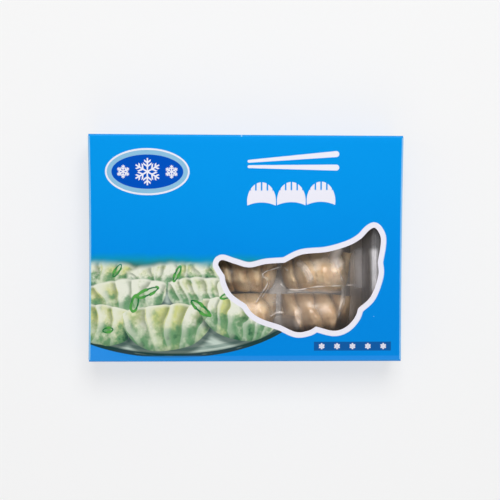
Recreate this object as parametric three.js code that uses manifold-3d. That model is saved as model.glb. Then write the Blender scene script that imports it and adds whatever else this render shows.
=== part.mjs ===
// A shut retail carton of frozen gyoza, lying on its back with its die-cut window facing up.
// The carton is one folded blank of thin board. Through the window shows a clear pouch, drawn down over twelve
// pleated dumplings that lie in rows on the back panel.
// Units are millimetres. X runs along the pack, Y across it and Z up, from the middle of the back panel.
import * as THREE from "three";
import { mergeVertices } from "three/addons/utils/BufferGeometryUtils.js";
import Module from "manifold-3d";

const wasm = await Module();
wasm.setup();

// ---- Driving dimensions: the carton ----
const PACK = { length: 201, width: 145, depth: 34 };
const BOARD = 0.5; // thickness of the board
const FOLD = 1.4; // outer radius of a fold
const FOLD_STEPS = 2; // cells across each half of a fold
const PANEL_CELLS = [10, 8, 2]; // cells across the flat of a panel, along X, Y and Z
const CROWN = 0.8; // how far the front panel bows out in its middle
const HOLLOW = { left: 0.8, right: 0.4 }; // how far each end draws in, halfway across the front
const END_FLAP = { lip: 4, side: 1.2 }; // what the glued end flap leaves bare at its free edge and beside it

// ---- Driving dimensions: the window, a gyoza's outline in the front panel ----
// Each lobe is one smooth curve. It starts where the last one ends, and they meet in a crease.
const WINDOW_STEPS = 3; // straight cuts between two points of a lobe
const WINDOW_CUT = 12; // height of the cutter, half of it inside the carton
const WINDOW_START = [-17.2, -7.9];
const WINDOW_LOBES = [
  [[-14.8, -7.2], [-7.7, -9.5], [1.9, -11.9], [12.7, -9.7], [24.6, -8.8]], // top edge, left half
  [[35.7, -3.6], [51.8, -1.9], [65.2, 1.9], [73.5, 6.4], [79, 12], [82.9, 13.5], [86.3, 8.5], [86.5, 2], [84.8, -8.3]],
  [[85.2, -17.3], [80.4, -30.5], [72.4, -38.2]], // right end, below the horn
  [[70.2, -44.1], [64.5, -50.2], [56.7, -52.6], [45.1, -49.9]],
  [[40.3, -52.5], [32.3, -53.4], [22.3, -49]],
  [[10.4, -45], [3.9, -40.9], [0.1, -35.7]],
  [[-8.9, -29.2], [-12.8, -22.2], [-13.9, -17.1]],
  [[-17.5, -11.5], [-18, -9.4], [-17.2, -7.9]], // left tip
];

// ---- Driving dimensions: the dumplings and the pouch over them ----
// One dumpling lies on its plain side. Its rim points to +Y and its belly to -Y.
const DUMPLING = { length: 46, depth: 28.4, height: 22, rimHeight: 13, ridge: 0.52, rimSweep: 2.2 };
const ROUNDNESS = { plan: [8, 0.33], belly: [3.6, 0.5], ends: [4, 0.5] }; // powers of three rounded outlines
const PLEATS = { pitch: 11, relief: 3.4, sharpness: 1.8, lean: -0.85, fade: 0.3 };
const ROWS = { count: 4, pitch: 28.8, middle: -1.6 };
const COLUMNS = { count: 3, pitch: 47.9, middle: -0.5 };
const POUCH = { length: 156, width: 122, sealHeight: 11.5, sideHeight: 5, endRun: 9, sideRun: 3 };
const FILM_CELL = { x: 2.4, y: 2.6 }; // size of one cell of the film
const FILM_LIFT = 0.4; // air between film and dough
const DRAPE_ROUNDS = 260;
const DRAPE_SAG = 0.1; // how far the film hangs between its neighbours, in each round
const CLEARANCE = 0.3; // air between the pouch and the board
const SEAL = { width: 112, thickness: 1.2 };
// The end seal's run in the XZ plane, as the short carton folds it up: out of the pouch, up, and flat under the front.
const SEAL_RUN = [[75.3, 8.7], [77.5, 11.5], [79.4, 18.5], [81.6, 25.4], [86.5, 28.3], [94, 29.2]];
const SEAL_STEPS = 14;

// ---- Solids and geometries ----

// A closed geometry as a solid, with the vertices that its faces share merged.
function solidOf(geometry) {
  const bare = new THREE.BufferGeometry().setAttribute("position", geometry.getAttribute("position"));
  bare.setIndex(geometry.index);
  const merged = mergeVertices(bare, 1e-4);
  return new wasm.Manifold(
    new wasm.Mesh({
      numProp: 3,
      vertProperties: merged.attributes.position.array,
      triVerts: new Uint32Array(merged.index.array),
    }),
  );
}

function geometryOf(solid) {
  const mesh = solid.getMesh();
  const geometry = new THREE.BufferGeometry();
  geometry.setAttribute("position", new THREE.BufferAttribute(mesh.vertProperties, 3));
  geometry.setIndex(new THREE.BufferAttribute(mesh.triVerts, 1));
  geometry.computeVertexNormals();
  return geometry;
}

function namedMesh(name, solid, material) {
  const mesh = new THREE.Mesh(geometryOf(solid), material);
  mesh.name = name;
  return mesh;
}

// ---- The carton ----

// Where grid line i lies across one side of the box: closely spaced over both folds, evenly between them.
function gridLine(i, cells, half, fold) {
  const last = cells + 2 * FOLD_STEPS;
  if (i > last / 2) return -gridLine(last - i, cells, half, fold);
  const flat = half - fold;
  if (i <= FOLD_STEPS) return -flat - fold * Math.tan((Math.PI / 4) * (1 - i / FOLD_STEPS));
  return -flat + (2 * flat * (i - FOLD_STEPS)) / cells;
}

// A box with round folds, centred on the origin.
function foldedBox(sides, fold) {
  const segments = PANEL_CELLS.map((cells) => cells + 2 * FOLD_STEPS);
  const geometry = new THREE.BoxGeometry(1, 1, 1, ...segments);
  const position = geometry.getAttribute("position");
  const point = new THREE.Vector3();
  const core = new THREE.Vector3();
  for (let n = 0; n < position.count; n++) {
    point.fromBufferAttribute(position, n);
    for (let axis = 0; axis < 3; axis++) {
      const line = Math.round((point.getComponent(axis) + 0.5) * segments[axis]);
      const half = sides[axis] / 2;
      const place = gridLine(line, PANEL_CELLS[axis], half, fold);
      point.setComponent(axis, place);
      core.setComponent(axis, THREE.MathUtils.clamp(place, fold - half, half - fold));
    }
    point.sub(core).setLength(fold).add(core);
    position.setXYZ(n, point.x, point.y, point.z);
  }
  return geometry;
}

// Bows and draws in a true box as a filled carton is. The back panel stays flat and the change grows to the front.
function settled(geometry) {
  const position = geometry.getAttribute("position");
  for (let n = 0; n < position.count; n++) {
    const z = position.getZ(n) + PACK.depth / 2;
    const rise = z / PACK.depth;
    const u = position.getX(n) / (PACK.length / 2);
    const v = position.getY(n) / (PACK.width / 2);
    const hollow = u < 0 ? HOLLOW.left : HOLLOW.right;
    position.setX(n, position.getX(n) - rise * u * hollow * (1 - v * v));
    position.setZ(n, z + rise * CROWN * (1 - u * u) * (1 - v * v));
  }
  return geometry;
}

function block(x, y, z, sx, sy, sz) {
  return solidOf(new THREE.BoxGeometry(sx, sy, sz).translate(x, y, z));
}

// The steps left round the outer end flap, which is hinged on the front panel and glued over the inner one.
function flapStep(side) {
  const deep = 2 * BOARD;
  const x = side * (PACK.length / 2 - BOARD + deep / 2);
  const belowHinge = PACK.depth - 2 * FOLD;
  const y = PACK.width / 2;
  const freeEdge = block(x, 0, END_FLAP.lip / 2, deep, PACK.width, END_FLAP.lip);
  const beside = [-y, y].map((at) => block(x, at, belowHinge / 2, deep, 2 * END_FLAP.side, belowHinge));
  return freeEdge.add(beside[0]).add(beside[1]);
}

function windowShape() {
  const outline = new THREE.Shape();
  outline.moveTo(...WINDOW_START);
  for (const lobe of WINDOW_LOBES) outline.splineThru(lobe.map(([x, y]) => new THREE.Vector2(x, y)));
  return outline;
}

function windowCutter() {
  const points = windowShape().getPoints(WINDOW_STEPS);
  const cutter = new THREE.ExtrudeGeometry(new THREE.Shape(points), { depth: WINDOW_CUT, bevelEnabled: false });
  return solidOf(cutter.translate(0, 0, PACK.depth - WINDOW_CUT / 2));
}

function cartonSolid() {
  const { length, width, depth } = PACK;
  const shell = solidOf(settled(foldedBox([length, width, depth], FOLD)));
  const inside = [length - 4 * BOARD, width - 2 * BOARD, depth - 2 * BOARD]; // the ends are two boards thick
  const cavity = solidOf(settled(foldedBox(inside, FOLD - BOARD)));
  return shell.subtract(cavity).subtract(flapStep(-1)).subtract(flapStep(1)).subtract(windowCutter());
}

// ---- The pouch ----

// A quarter of a rounded outline: 1 at t = 0, falling to 0 at t = 1.
function rounded(t, [inner, outer]) {
  return Math.pow(1 - Math.pow(Math.abs(t), inner), outer);
}

// How high one dumpling stands at a point (x, y) from its middle, or 0 beside it.
function dumplingHeight(x, y) {
  const u = x / (DUMPLING.length / 2);
  if (Math.abs(u) >= 1) return 0;
  const rimY = DUMPLING.depth / 2 - DUMPLING.rimSweep * u * u;
  const v = (rimY - y) / (DUMPLING.depth * rounded(u, ROUNDNESS.plan)); // 0 at the rim, 1 at the belly's edge
  if (v <= 0 || v >= 1) return 0;
  const rising = v < DUMPLING.ridge;
  const across = rising ? v / DUMPLING.ridge : (v - DUMPLING.ridge) / (1 - DUMPLING.ridge);
  const swell = rising ? Math.sin((across * Math.PI) / 2) : rounded(across, ROUNDNESS.belly);
  const low = rising ? DUMPLING.rimHeight : 0;
  const height = low + (DUMPLING.height * rounded(u, ROUNDNESS.ends) - low) * swell;
  const fold = x / PLEATS.pitch + PLEATS.lean * (v - 0.5);
  const fromCrest = Math.abs(2 * (fold - Math.floor(fold)) - 1); // 0 on a pleat's crest, 1 in the tuck beside it
  return Math.max(0, height - PLEATS.relief * Math.pow(fromCrest, PLEATS.sharpness) * (1 - PLEATS.fade * v));
}

// The tallest dumpling under a point of the pouch.
function contentsHeight(x, y) {
  const column = Math.round((x - COLUMNS.middle) / COLUMNS.pitch);
  const row = Math.round((y - ROWS.middle) / ROWS.pitch - 0.5) + 0.5; // an even count has its middle between two rows
  if (Math.abs(column) > (COLUMNS.count - 1) / 2 || Math.abs(row) > (ROWS.count - 1) / 2) return 0;
  return dumplingHeight(x - COLUMNS.middle - column * COLUMNS.pitch, y - ROWS.middle - row * ROWS.pitch);
}

// Heights of a film drawn over the contents: each point lies on what is under it, or hangs between its neighbours.
function drapedHeights(nx, ny, xAt, yAt) {
  const at = (i, j) => j * (nx + 1) + i;
  const under = [];
  for (let j = 0; j <= ny; j++)
    for (let i = 0; i <= nx; i++) {
      const atEnd = i === 0 || i === nx;
      const atSide = j === 0 || j === ny;
      const edge = atEnd ? POUCH.sealHeight : POUCH.sideHeight;
      under.push(atEnd || atSide ? edge : contentsHeight(xAt(i), yAt(j)) + FILM_LIFT);
    }
  const heights = under.slice();
  for (let round = 0; round < DRAPE_ROUNDS; round++)
    for (let j = 1; j < ny; j++)
      for (let i = 1; i < nx; i++) {
        const sides = heights[at(i - 1, j)] + heights[at(i + 1, j)] + heights[at(i, j - 1)] + heights[at(i, j + 1)];
        heights[at(i, j)] = Math.max(under[at(i, j)], sides / 4 - DRAPE_SAG);
      }
  return heights;
}

// The filled body of the pouch: the draped film above, a flat bed below, and a turned-up edge all round.
function pouchBody() {
  const nx = Math.round(POUCH.length / FILM_CELL.x);
  const ny = Math.round(POUCH.width / FILM_CELL.y);
  const xAt = (i) => COLUMNS.middle + POUCH.length * (i / nx - 0.5);
  const yAt = (j) => ROWS.middle + POUCH.width * (j / ny - 0.5);
  const at = (i, j) => j * (nx + 1) + i;
  const heights = drapedHeights(nx, ny, xAt, yAt);
  const points = [];
  const faces = [];
  for (let j = 0; j <= ny; j++)
    for (let i = 0; i <= nx; i++) points.push(xAt(i), yAt(j), heights[at(i, j)]);
  for (let j = 0; j < ny; j++)
    for (let i = 0; i < nx; i++) {
      const [a, b, c, d] = [at(i, j), at(i + 1, j), at(i + 1, j + 1), at(i, j + 1)];
      faces.push(a, b, c, a, c, d);
    }
  const rim = []; // the film's edge, anticlockwise from above
  for (let i = 0; i < nx; i++) rim.push(at(i, 0));
  for (let j = 0; j < ny; j++) rim.push(at(nx, j));
  for (let i = nx; i > 0; i--) rim.push(at(i, ny));
  for (let j = ny; j > 0; j--) rim.push(at(0, j));
  const bed = points.length / 3; // the first point of the bed's outline
  const scaleX = 1 - (2 * POUCH.endRun) / POUCH.length;
  const scaleY = 1 - (2 * POUCH.sideRun) / POUCH.width;
  for (const n of rim)
    points.push(
      COLUMNS.middle + (points[3 * n] - COLUMNS.middle) * scaleX,
      ROWS.middle + (points[3 * n + 1] - ROWS.middle) * scaleY,
      0,
    );
  const middle = points.length / 3;
  points.push(COLUMNS.middle, ROWS.middle, 0);
  rim.forEach((n, k) => {
    const next = (k + 1) % rim.length;
    faces.push(n, bed + k, rim[next], rim[next], bed + k, bed + next);
    faces.push(bed + k, middle, bed + next);
  });
  const geometry = new THREE.BufferGeometry();
  geometry.setAttribute("position", new THREE.Float32BufferAttribute(points, 3));
  geometry.setIndex(faces);
  return solidOf(geometry);
}

// One end seal, an even strip that follows SEAL_RUN.
function sealFin(side) {
  const run = new THREE.SplineCurve(SEAL_RUN.map(([x, z]) => new THREE.Vector2(x, z)));
  const offset = (t, by) => {
    const tangent = run.getTangent(t);
    return run.getPoint(t).add(new THREE.Vector2(-tangent.y, tangent.x).multiplyScalar(by));
  };
  const steps = Array.from({ length: SEAL_STEPS + 1 }, (_, n) => n / SEAL_STEPS);
  const upper = steps.map((t) => offset(t, SEAL.thickness / 2));
  const lower = steps.map((t) => offset(t, -SEAL.thickness / 2)).reverse();
  const strip = new THREE.ExtrudeGeometry(new THREE.Shape([...lower, ...upper]), {
    depth: SEAL.width,
    bevelEnabled: false,
  });
  strip.translate(0, 0, -SEAL.width / 2).rotateX(Math.PI / 2);
  if (side < 0) strip.rotateZ(Math.PI);
  return solidOf(strip.translate(0, ROWS.middle, 0));
}

function pouchSolid() {
  return pouchBody().add(sealFin(-1)).add(sealFin(1));
}

// ---- Materials and assembly ----

const printedBoard = new THREE.MeshStandardMaterial({ color: 0x0892e8, roughness: 0.42, metalness: 0 });
const clearFilm = new THREE.MeshStandardMaterial({ color: 0xb49a74, roughness: 0.3, metalness: 0 });

const pack = new THREE.Group();
pack.name = "windowed_gyoza_carton";
const contents = new THREE.Group();
contents.position.z = BOARD + CLEARANCE;
contents.add(namedMesh("pouch", pouchSolid(), clearFilm));
pack.add(namedMesh("carton", cartonSolid(), printedBoard), contents);

export default pack;
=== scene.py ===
import math
from functools import reduce

import bpy
import numpy as np
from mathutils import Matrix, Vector, noise
from mathutils.bvhtree import BVHTree
from mathutils.geometry import delaunay_2d_cdt


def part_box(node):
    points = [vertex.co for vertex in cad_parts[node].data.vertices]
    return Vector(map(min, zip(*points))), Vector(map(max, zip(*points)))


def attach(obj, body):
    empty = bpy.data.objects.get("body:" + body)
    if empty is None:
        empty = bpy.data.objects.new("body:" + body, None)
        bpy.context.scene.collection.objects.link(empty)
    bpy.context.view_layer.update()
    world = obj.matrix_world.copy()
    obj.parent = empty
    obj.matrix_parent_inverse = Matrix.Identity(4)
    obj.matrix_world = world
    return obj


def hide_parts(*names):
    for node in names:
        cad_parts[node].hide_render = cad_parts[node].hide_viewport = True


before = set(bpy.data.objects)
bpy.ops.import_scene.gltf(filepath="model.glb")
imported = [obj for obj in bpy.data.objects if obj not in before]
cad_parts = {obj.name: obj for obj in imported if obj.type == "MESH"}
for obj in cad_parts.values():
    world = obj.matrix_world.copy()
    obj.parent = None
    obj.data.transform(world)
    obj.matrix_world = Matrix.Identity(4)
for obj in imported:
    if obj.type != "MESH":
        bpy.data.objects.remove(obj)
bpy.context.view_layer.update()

# A shut carton of frozen gyoza on its back. Lengths are in millimetres.
# A mesh is scaled to metres when it is made.
mm = 0.001
cartonLow, cartonHigh = (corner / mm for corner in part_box("carton"))
print("frame loaded")


def plug(socket, value):
    if isinstance(value, treeValue):
        socket.id_data.links.new(value.socket, socket)
    else:
        socket.default_value = value


def setInputs(node, inputs):
    for name, value in inputs.items():
        plug(node.inputs[name], value)


def treeOf(values):
    return next(value.tree for value in values if isinstance(value, treeValue))


# A Math node as a function. A turned one takes its two values the other way round.
def formula(operation, turned=False):
    def apply(*values):
        node = treeOf(values).nodes.new("ShaderNodeMath")
        node.operation = operation
        for socket, value in zip(node.inputs, values[::-1] if turned else values):
            plug(socket, value)
        return treeValue(node.outputs[0])
    return apply


# A value in a node tree, so that formulas can be written as formulas.
class treeValue:
    def __init__(self, socket):
        self.socket, self.tree = socket, socket.id_data

    __add__ = __radd__ = formula("ADD")
    __sub__ = formula("SUBTRACT")
    __rsub__ = formula("SUBTRACT", turned=True)
    __mul__ = __rmul__ = formula("MULTIPLY")
    __truediv__ = formula("DIVIDE")
    __pow__ = formula("POWER")


least, most, size, root = formula("MINIMUM"), formula("MAXIMUM"), formula("ABSOLUTE"), formula("SQRT")
sine, cosine, angleOf = formula("SINE"), formula("COSINE"), formula("ARCTAN2")
fraction, whole, sign, below = formula("FRACT"), formula("FLOOR"), formula("SIGN"), formula("LESS_THAN")


# Adds a node and returns one of its outputs. Keywords are the node's own settings.
def addNode(tree, kind, inputs, output=0, **settings):
    node = tree.nodes.new(kind)
    for name, value in settings.items():
        setattr(node, name, value)
    setInputs(node, inputs)
    return treeValue(node.outputs[output])


# 0 below low, 1 above high and smooth between them. With low above high it falls instead.
def ramp(value, low, high):
    inputs = {"Value": value, "From Min": low, "From Max": high}
    if isinstance(low, (int, float)) and isinstance(high, (int, float)) and low > high:
        inputs = {"Value": value, "From Min": high, "From Max": low, "To Min": 1.0, "To Max": 0.0}
    return addNode(value.tree, "ShaderNodeMapRange", inputs, interpolation_type="SMOOTHSTEP")


def distance(x, y):
    return root(x * x + y * y)


def turned(x, y, turn):
    c, s = cosine(turn), sine(turn)
    return x * c + y * s, y * c - x * s


def separate(vector):
    node = addNode(vector.tree, "ShaderNodeSeparateXYZ", {"Vector": vector}).socket.node
    return [treeValue(output) for output in node.outputs]


def combine(x, y, z):
    return addNode(treeOf((x, y, z)), "ShaderNodeCombineXYZ", {"X": x, "Y": y, "Z": z})


def speckle(vector, scale, detail=2.0, roughness=0.5, seed=0.0):
    inputs = {"Vector": vector, "W": seed, "Scale": scale, "Detail": detail, "Roughness": roughness}
    return addNode(vector.tree, "ShaderNodeTexNoise", inputs, noise_dimensions="4D")


# A colour as a paint chart gives it, 0 to 255 in sRGB.
def ink(*levels):
    shares = [level / 255 for level in levels]
    return tuple(c / 12.92 if c <= 0.04045 else ((c + 0.055) / 1.055) ** 2.4 for c in shares) + (1.0,)


def blend(share, under, over):
    inputs = {"Factor": share, "A": under, "B": over}
    return addNode(share.tree, "ShaderNodeMix", inputs, "Result", data_type="RGBA")


# Lays colours over one another. Each layer is how much of it shows and its colour.
def layered(colour, *layers):
    for share, over in layers:
        colour = blend(share, colour, over)
    return colour


# A node group and its inputs. An input is given by its default value, or by its kind if it has none.
def newGroup(name, inputs, outputs, treeKind="ShaderNodeTree"):
    group = bpy.data.node_groups.new(name, treeKind)
    for label, value in inputs.items():
        kind = value if isinstance(value, str) else "Float"
        socket = group.interface.new_socket(label, in_out="INPUT", socket_type="NodeSocket" + kind)
        if kind == "Float":
            socket.default_value = value
    for label, kind in outputs.items():
        group.interface.new_socket(label, in_out="OUTPUT", socket_type="NodeSocket" + kind)
    entry = group.nodes.new("NodeGroupInput")
    group.nodes.new("NodeGroupOutput")
    return group, [treeValue(entry.outputs[label]) for label in inputs]


def groupOutput(group, **values):
    setInputs(group.nodes["Group Output"], values)
    return group


# Places a group in the tree of its inputs and returns its outputs by name.
def place(group, **inputs):
    first = addNode(treeOf(inputs.values()), "ShaderNodeGroup", inputs, node_tree=group)
    return {output.name: treeValue(output) for output in first.socket.node.outputs}


# A material, its Principled shader and the point of the object that it colours.
def newMaterial(name):
    material = bpy.data.materials.new(name)
    material.use_nodes = True
    tree = material.node_tree
    return material, tree.nodes["Principled BSDF"], addNode(tree, "ShaderNodeTexCoord", {}, "Object")


def attribute(tree, name):
    return addNode(tree, "ShaderNodeAttribute", {}, "Fac", attribute_name=name)


def bump(height, depth):
    inputs = {"Strength": 1.0, "Distance": depth * mm, "Height": height}
    return addNode(height.tree, "ShaderNodeBump", inputs)


def meshObject(name, points, faces, materials, marks=None):
    mesh = bpy.data.meshes.new(name)
    mesh.from_pydata([Vector(p) * mm for p in points], [], faces)
    for material in materials:
        mesh.materials.append(material)
    for label, values in (marks or {}).items():
        mark = mesh.attributes.new(label, "FLOAT", "POINT")
        mark.data.foreach_set("value", np.asarray(values, np.float32))
    mesh.polygons.foreach_set("use_smooth", [True] * len(mesh.polygons))
    mesh.update()
    piece = bpy.data.objects.new(name, mesh)
    bpy.context.scene.collection.objects.link(piece)
    return piece


# The plain mesh that an object's modifiers make.
def evaluatedMesh(piece):
    bpy.context.view_layer.update()
    return bpy.data.meshes.new_from_object(piece.evaluated_get(bpy.context.evaluated_depsgraph_get()))


# The plain mesh that a Geometry Nodes tree makes on an object, which is then removed.
def meshFromTree(holder, tree, values):
    bpy.context.scene.collection.objects.link(holder)
    modifier = holder.modifiers.new("shape", "NODES")
    modifier.node_group = tree
    sockets = {item.name: item.identifier for item in tree.interface.items_tree if item.in_out == "INPUT"}
    for label, value in values.items():
        modifier[sockets[label]] = value
    mesh = evaluatedMesh(holder)
    bpy.data.objects.remove(holder)
    return mesh


# Ends a Geometry Nodes tree.
def finishTree(group, geometry, material):
    made = addNode(group, "GeometryNodeRealizeInstances", {"Geometry": geometry})
    coloured = addNode(group, "GeometryNodeSetMaterial", {"Geometry": made, "Material": material})
    return groupOutput(group, geometry=coloured)


# Adds a mesh to lists of points and faces.
def gather(points, faces, mesh, flip=False):
    start = len(points)
    points += [vertex.co / mm for vertex in mesh.vertices]
    for face in mesh.polygons:
        corners = [start + n for n in face.vertices]
        faces.append(corners[::-1] if flip else corners)


# A smooth line through a few points, with straight steps about as long as asked.
def smoothLine(points, step):
    points = [np.array(p, float) for p in points]
    padded = [2 * points[0] - points[1], *points, 2 * points[-1] - points[-2]]
    line = []
    for a, b, c, d in zip(padded, padded[1:], padded[2:], padded[3:]):
        count = max(1, round(float(np.linalg.norm(c - b)) / step))
        for t in np.arange(count) / count:
            curve = (2 * a - 5 * b + 4 * c - d) * t**2 + (3 * b - a - 3 * c + d) * t**3
            line.append(0.5 * (2 * b + (c - a) * t + curve))
    return np.array([*line, points[-1]])


# How far each point lies from a line of short straight steps, and how far along it the nearest place is.
def distanceToLine(points, line):
    best = np.full(len(points), 1e9)
    along = np.zeros(len(points))
    for n, (a, b) in enumerate(zip(line[:-1], line[1:])):
        run = b - a
        t = np.clip(((points - a) @ run) / max(run @ run, 1e-9), 0, 1)
        gap = np.linalg.norm(points - a - t[:, None] * run, axis=1)
        along = np.where(gap < best, (n + t) / (len(line) - 1), along)
        best = np.minimum(best, gap)
    return best, along


view = {
    "place": (-33.5, 41.0, 785.4),
    "turn": (-3.19, -2.72, 0.264),  # degrees about X, Y and Z
    "lens": 85.0,
}


def makeCamera():
    camera = bpy.data.objects.new("camera", bpy.data.cameras.new("camera"))
    camera.data.lens = view["lens"]
    camera.data.clip_start, camera.data.clip_end = 0.05, 20
    camera.location = Vector(view["place"]) * mm
    camera.rotation_euler = [math.radians(angle) for angle in view["turn"]]
    bpy.context.scene.collection.objects.link(camera)
    bpy.context.scene.camera = camera


studio = {
    "floorHalf": 3000,  # half its width
    "floorDrop": 0.05,  # how far it lies under the carton
    "floorAlbedo": 0.335,
    "floorGlow": 0.605,  # the floor is a lit table, so shadows on it stay light
    "zenith": 0.36,
    "horizon": 0.165,
    "reach": 1.5,  # metres from the carton to each lamp
    "lamps": {  # azimuth, elevation, width in metres, watts
        "back": (83, 60, 0.7, 13.1),
        "left": (180, 45, 0.9, 1.1),
        "right": (0, 45, 0.9, 1.05),
        "front": (-90, 45, 0.9, 2.7),
    },
}


def makeFloor():
    material, principled, point = newMaterial("floorPaper")
    mottle = studio["floorAlbedo"] * (0.99 + 0.02 * speckle(point, 300.0))
    setInputs(principled, {
        "Base Color": combine(mottle, mottle, mottle),
        "Emission Color": (1.0, 1.0, 1.0, 1.0),
        "Emission Strength": studio["floorGlow"],
        "Roughness": 0.9,
        "Specular IOR Level": 0.0,
    })
    half, drop = studio["floorHalf"], studio["floorDrop"]
    corners = [(-half, -half, -drop), (half, -half, -drop), (half, half, -drop), (-half, half, -drop)]
    floor = meshObject("floor", corners, [(0, 1, 2, 3)], [material])


def makeWorld():
    world = bpy.data.worlds.new("studio")
    bpy.context.scene.world = world
    world.use_nodes = True
    up = separate(addNode(world.node_tree, "ShaderNodeTexCoord", {}, "Generated"))[2]
    strength = studio["horizon"] + (studio["zenith"] - studio["horizon"]) * ramp(up, 0.0, 0.9)
    setInputs(world.node_tree.nodes["Background"], {"Color": (1.0, 1.0, 1.0, 1.0), "Strength": strength})


def makeLamps():
    for name, (azimuth, elevation, width, watts) in studio["lamps"].items():
        lamp = bpy.data.lights.new(name, "AREA")
        lamp.shape, lamp.size, lamp.energy = "SQUARE", width, watts
        a, e = math.radians(azimuth), math.radians(elevation)
        back = Vector((math.cos(a) * math.cos(e), math.sin(a) * math.cos(e), math.sin(e)))
        holder = bpy.data.objects.new(name, lamp)
        holder.location = back * studio["reach"]
        holder.rotation_euler = back.to_track_quat("Z", "Y").to_euler()
        bpy.context.scene.collection.objects.link(holder)


makeCamera()
makeFloor()
makeWorld()
makeLamps()
bpy.context.scene.view_settings.view_transform = "Standard"
print("camera and studio made")


# Fine paper fibres and broad unevenness, 0 to 1.
def makeFibreGroup():
    inputs = {"point": "Vector", "scale": 900.0, "stretch": 4.0}
    group, (point, scale, stretch) = newGroup("paperFibre", inputs, {"fibre": "Float", "mottle": "Float"})
    x, y, z = separate(point)
    fibre = speckle(combine(x / stretch, y, z), scale, 3.0, 0.65)
    return groupOutput(group, fibre=fibre, mottle=speckle(point, scale * 0.04))


# Wear where board is folded, which also carries part of the painted highlight on the folds: 1 where the
# print has cracked or rubbed off.
def makeWearGroup():
    inputs = {"point": "Vector", "nearness": 0.0, "amount": 0.5}
    group, (point, nearness, amount) = newGroup("foldWear", inputs, {"wear": "Float"})
    level = nearness * amount * (0.55 + 0.9 * speckle(point, 60.0))
    fine = speckle(point, 700.0, 3.0, 0.7, 3.0)
    return groupOutput(group, wear=ramp(level + 0.35 * (fine - 0.5), 0.42, 0.62))


fibreGroup = makeFibreGroup()
wearGroup = makeWearGroup()

carton = {
    "length": round(cartonHigh.x - cartonLow.x, 1),
    "width": round(cartonHigh.y - cartonLow.y, 1),
    "crown": 0.8,  # how far the front bows out
    "hollow": (0.8, 0.4),  # how far the left and right end draw in at the front
    "wave": 0.12,  # unevenness of the front
    "board": 0.5,
    "fold": 1.4,  # outer radius of a fold
    "foldSteps": 6,
    "columns": 60,  # cells along X
    "rows": {"front": 43, "back": 24, "upperSide": 8, "lowerSide": 8, "glueFlap": 3},  # cells across a wall
    "seam": 0.25,  # height of the upper side's free edge
    "slack": 0.03,  # between boards that are glued
    "glueLap": 13.0,
    "sideFold": 0.15,  # how much paler the print is where the sides and the ends are folded: wear and a painted highlight
    "endFold": 1.0,
    # What goes on beyond each end's hinge: the walls, the share of their width, how far inside the end it
    # lies, the radius of its fold, how many of the fold's rows are rubbed and have a painted highlight,
    # the length and the cells down.
    "flaps": [
        (["front"], (0, 1), 0.0, 1.4, 5, 31.0, 8),
        (["back"], (0, 1), 0.54, 0.85, 6, 29.5, 8),
        (["upperSide", "lowerSide"], (0.1, 0.95), 1.08, 0.5, 5, 24.0, 4),
        (["upperFold", "lowerFold", "lowerBackFold"], (0, 1), 0.4, 0.0, 0, 0.0, 0),
    ],
}
carton["depth"] = round(cartonHigh.z - carton["crown"], 1)
carton["hinge"] = carton["length"] / 2 - carton["fold"] - 0.2  # where the ends begin to fold

# The die-cut window, a gyoza's outline. Each lobe is a smooth curve that starts where the last one ends.
window = {
    "start": (-17.2, -7.9),
    "lobes": [
        [(-14.8, -7.2), (-7.7, -9.5), (1.9, -11.9), (12.7, -9.7), (24.6, -8.8)],
        [(35.7, -3.6), (51.8, -1.9), (65.2, 1.9), (73.5, 6.4), (79, 12), (82.9, 13.5), (86.3, 8.5),
         (86.5, 2), (84.8, -8.3)],
        [(85.2, -17.3), (80.4, -30.5), (72.4, -38.2)],
        [(70.2, -44.1), (64.5, -50.2), (56.7, -52.6), (45.1, -49.9)],
        [(40.3, -52.5), (32.3, -53.4), (22.3, -49)],
        [(10.4, -45), (3.9, -40.9), (0.1, -35.7)],
        [(-8.9, -29.2), (-12.8, -22.2), (-13.9, -17.1)],
        [(-17.5, -11.5), (-18.0, -9.4), (-17.2, -7.9)],
    ],
    "step": 0.8,
    "border": 3.5,  # width of the white line printed round it
    "mesh": 0.9,  # spacing of the board's points beside it
    "near": 5.0,  # how far they reach
    "far": 6.0,  # where the front's own grid begins
    "patch": 8.0,  # and where that grid's cells are whole
}


def windowOutline():
    outline = []
    start = window["start"]
    for lobe in window["lobes"]:
        outline.extend(smoothLine([start, *lobe], window["step"])[:-1])
        start = lobe[-1]
    return np.array(outline)


def insideOutline(points, outline):
    inside = np.zeros(len(points), bool)
    for a, b in zip(outline, np.roll(outline, -1, axis=0)):
        crosses = (a[1] > points[:, 1]) != (b[1] > points[:, 1])
        if crosses.any():
            at = a[0] + (points[:, 1] - a[1]) * (b[0] - a[0]) / (b[1] - a[1])
            inside ^= crosses & (points[:, 0] < at)
    return inside


# The walls in section, as one strip of board, from the seam on the upper side round to the glued flap under
# it. Each run is a straight line, or a quarter turn round a centre, with its outward side on the right.
def sectionRuns():
    halfWidth, depth, fold = carton["width"] / 2, carton["depth"], carton["fold"]
    flat, lapFold = halfWidth - fold, fold - carton["board"]
    lap = halfWidth - carton["board"] - carton["slack"]
    runs = {
        "upperSide": {"from": (halfWidth, carton["seam"]), "to": (halfWidth, depth - fold)},
        "upperFold": {"centre": (flat, depth - fold), "radius": fold, "turn": 0},
        "front": {"from": (flat, depth), "to": (-flat, depth)},
        "lowerFold": {"centre": (-flat, depth - fold), "radius": fold, "turn": 90},
        "lowerSide": {"from": (-halfWidth, depth - fold), "to": (-halfWidth, fold)},
        "lowerBackFold": {"centre": (-flat, fold), "radius": fold, "turn": 180},
        "back": {"from": (-flat, 0), "to": (flat, 0)},
        "upperBackFold": {"centre": (flat, lapFold), "radius": lapFold, "turn": 270},
        "glueFlap": {"from": (lap, lapFold), "to": (lap, carton["glueLap"])},
    }
    for name, run in runs.items():
        run["shares"] = np.linspace(0, 1, carton["rows"].get(name, carton["foldSteps"]) + 1)
    return runs


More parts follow.
